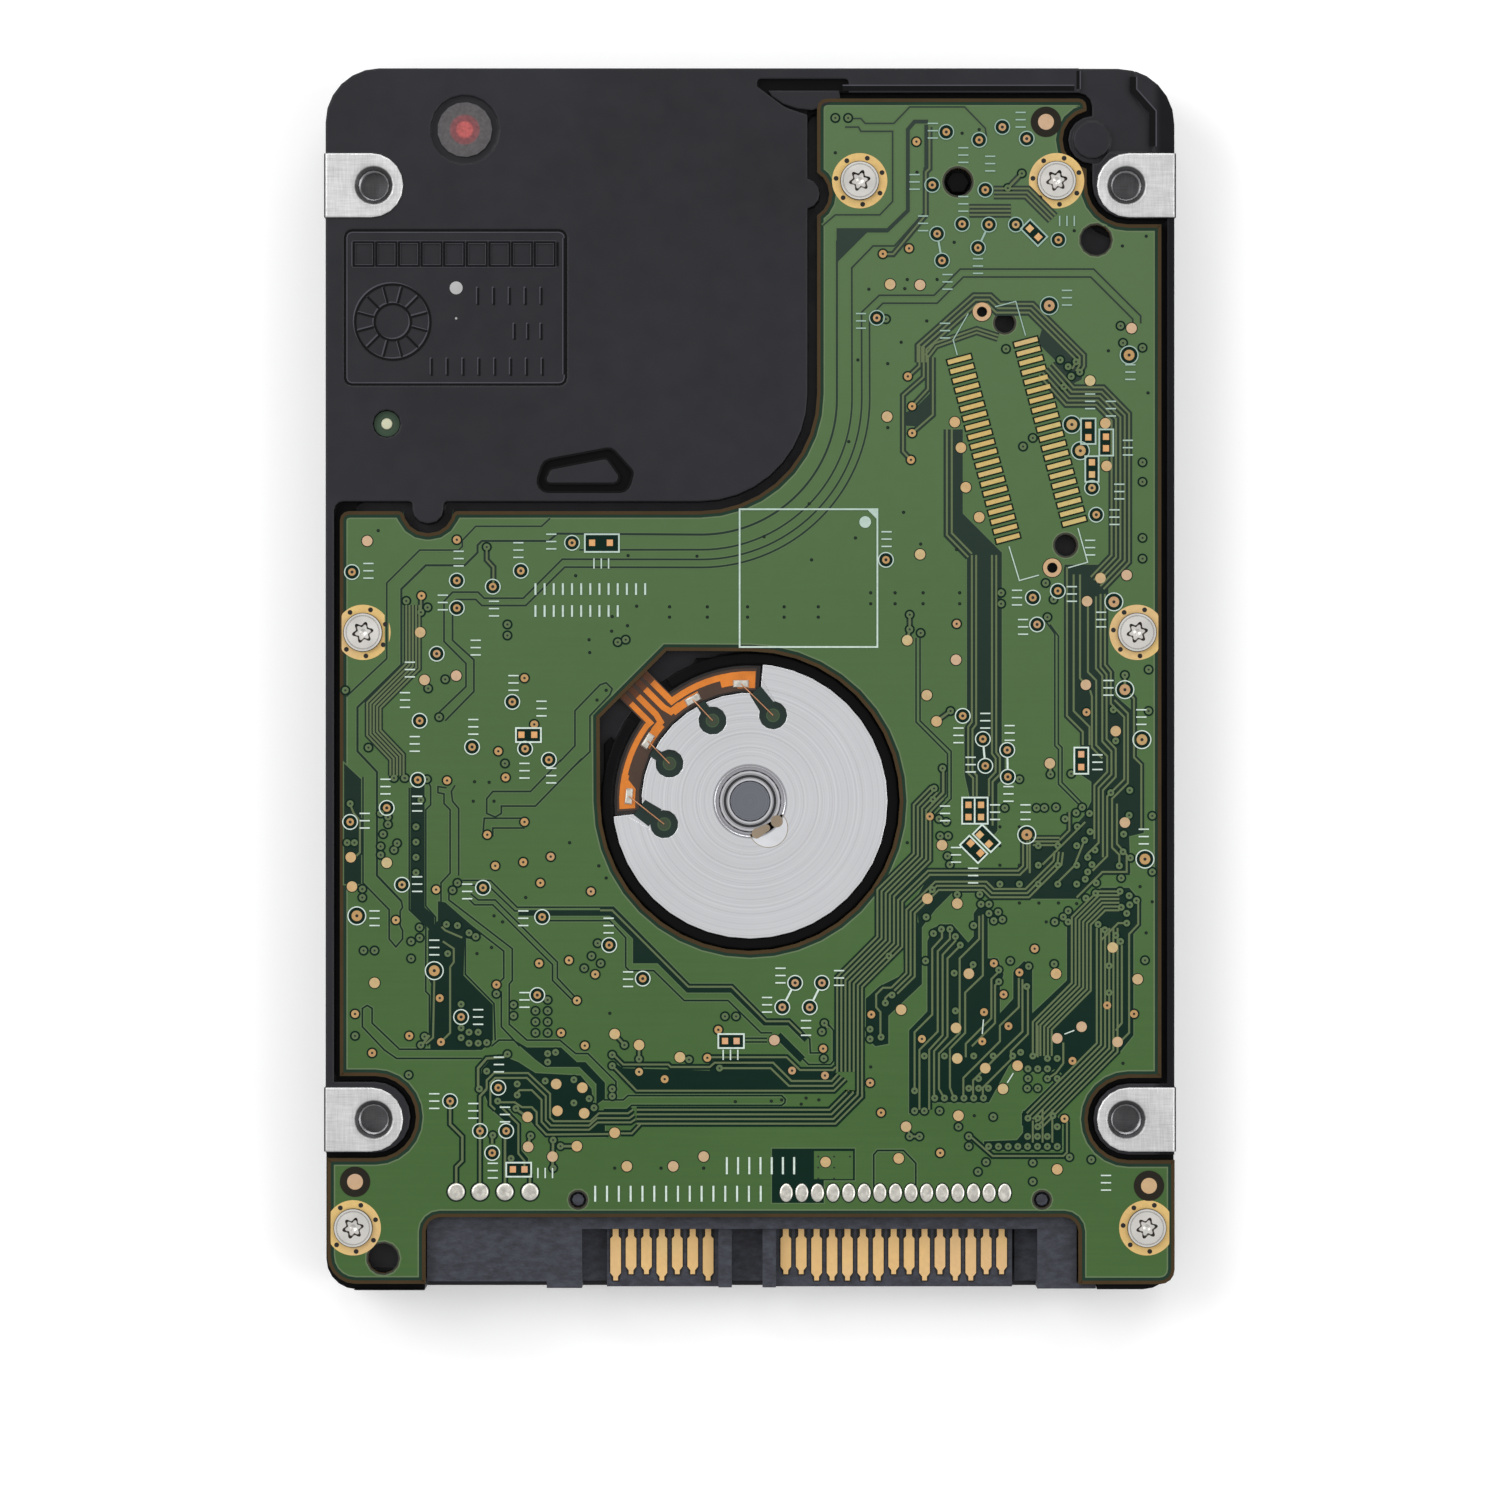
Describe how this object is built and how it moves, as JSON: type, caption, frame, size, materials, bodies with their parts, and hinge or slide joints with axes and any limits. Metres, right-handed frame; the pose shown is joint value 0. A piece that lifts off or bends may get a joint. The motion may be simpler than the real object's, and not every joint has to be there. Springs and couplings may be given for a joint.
{
  "type": "hard disk drive",
  "caption": "Slim 2.5-inch hard disk drive: sealed black casting, green circuit board, spindle motor, edge plug, with disk, swinging head arm and latch inside.",
  "frame": {"origin": "centre of the bounding box's bottom face, which is the raised face of the top cover", "axes": "+Z from the cover to the circuit board and mounting faces, +Y along the length away from the connector, +X across the width"},
  "size_m": [0.0698, 0.1002, 0.007],
  "materials": {
    "arm_aluminium": "machined",
    "bearing_grey": "ground",
    "bearing_steel": "turned",
    "black_casting": "satin black coated die casting",
    "board_green": "green solder mask over copper",
    "bracket_steel": "turned",
    "cap_steel": "satin",
    "chip_epoxy": "matte moulded epoxy",
    "coil_copper": "enamelled copper wire",
    "connector_plastic": "satin moulded",
    "contact_gold": "gold plated",
    "core_steel": "laminated",
    "cover_aluminium": "satin pressed sheet",
    "filter_felt": "matte felt",
    "filter_white": "matte felt",
    "flex_amber": "polyimide film",
    "flex_orange": "polyimide film",
    "gasket_rubber": "matte",
    "header_plastic": "matte",
    "hub_aluminium": "turned",
    "label_paper": "satin printed label stock, blank",
    "latch_red": "satin moulded",
    "magnet_ferrite": "dull coated",
    "magnet_nickel": "nickel plated",
    "overmold_plastic": "satin moulded",
    "pin_steel": "ground",
    "platter_mirror": "polished",
    "preamp_epoxy": "matte",
    "ramp_plastic": "satin moulded",
    "screw_steel": "bright machined",
    "seal_film": "frosted film",
    "shaft_steel": "ground",
    "slider_ceramic": "lapped ceramic",
    "stop_rubber": "matte",
    "suspension_steel": "rolled",
    "winding_copper": "enamelled copper wire",
    "yoke_steel": "nickel plated"
  },
  "bodies": {
    "base": {"actuator_flex_cable": "flex_amber", "base_casting": "black_casting", "bearing_end_cap": "cap_steel", "bearing_sleeve": "bearing_steel", "board_screw_1": "screw_steel", "board_screw_2": "screw_steel", "board_screw_3": "screw_steel", "board_screw_4": "screw_steel", "board_screw_5": "screw_steel", "board_screw_6": "screw_steel", "breather_filter": "filter_felt", "circuit_board": "board_green", "controller_chip": "chip_epoxy", "cover_gasket": "gasket_rubber", "cover_label": "label_paper", "cover_screw_1": "screw_steel", "cover_screw_2": "screw_steel", "cover_screw_3": "screw_steel", "cover_screw_4": "screw_steel", "cover_screw_5": "screw_steel", "cover_screw_6": "screw_steel", "crash_stop": "stop_rubber", "latch_pin": "pin_steel", "memory_chip": "chip_epoxy", "motor_bracket": "bracket_steel", "motor_driver_chip": "chip_epoxy", "motor_flex_cable": "flex_orange", "parking_ramp": "ramp_plastic", "pivot_shaft": "yoke_steel", "port_seal": "seal_film", "preamp_header": "header_plastic", "recirculation_filter": "filter_white", "sata_housing": "connector_plastic", "sata_power_contacts": "contact_gold", "sata_signal_contacts": "contact_gold", "stator_core": "core_steel", "stator_windings": "winding_copper", "top_cover": "cover_aluminium", "voice_magnet_base_side": "magnet_nickel", "voice_magnet_cover_side": "magnet_nickel", "yoke_base_side": "yoke_steel", "yoke_cover_side": "yoke_steel", "yoke_post_1": "yoke_steel", "yoke_post_2": "yoke_steel"},
    "spindle": {"spindle_shaft": "shaft_steel", "spindle_hub": "hub_aluminium", "rotor_magnet": "magnet_ferrite", "platter": "platter_mirror", "disk_clamp": "shaft_steel", "clamp_screw": "shaft_steel"},
    "actuator": {"actuator_arm": "arm_aluminium", "pivot_bearing": "bearing_grey", "voice_coil": "coil_copper", "coil_overmold": "overmold_plastic", "suspension_lower": "suspension_steel", "suspension_upper": "suspension_steel", "slider_lower": "slider_ceramic", "slider_upper": "slider_ceramic", "preamp_chip": "preamp_epoxy"},
    "latch": {"inertial_latch": "latch_red"}
  },
  "joints": [
    {"name": "spindle_spin", "type": "hinge", "parent": "base", "child": "spindle", "pos_m": [0, -0.01, 0], "axis": [0, 0, 1], "continuous": true},
    {"name": "actuator_swing", "type": "hinge", "parent": "base", "child": "actuator", "pos_m": [-0.009, 0.03, 0], "axis": [0, 0, 1], "range_deg": [-34.8, 0], "deforming": ["actuator_flex_cable"]},
    {"name": "latch_swing", "type": "hinge", "parent": "base", "child": "latch", "pos_m": [-0.0234, 0.0451, 0], "axis": [0, 0, 1], "range_deg": [0, 10]}
  ]
}
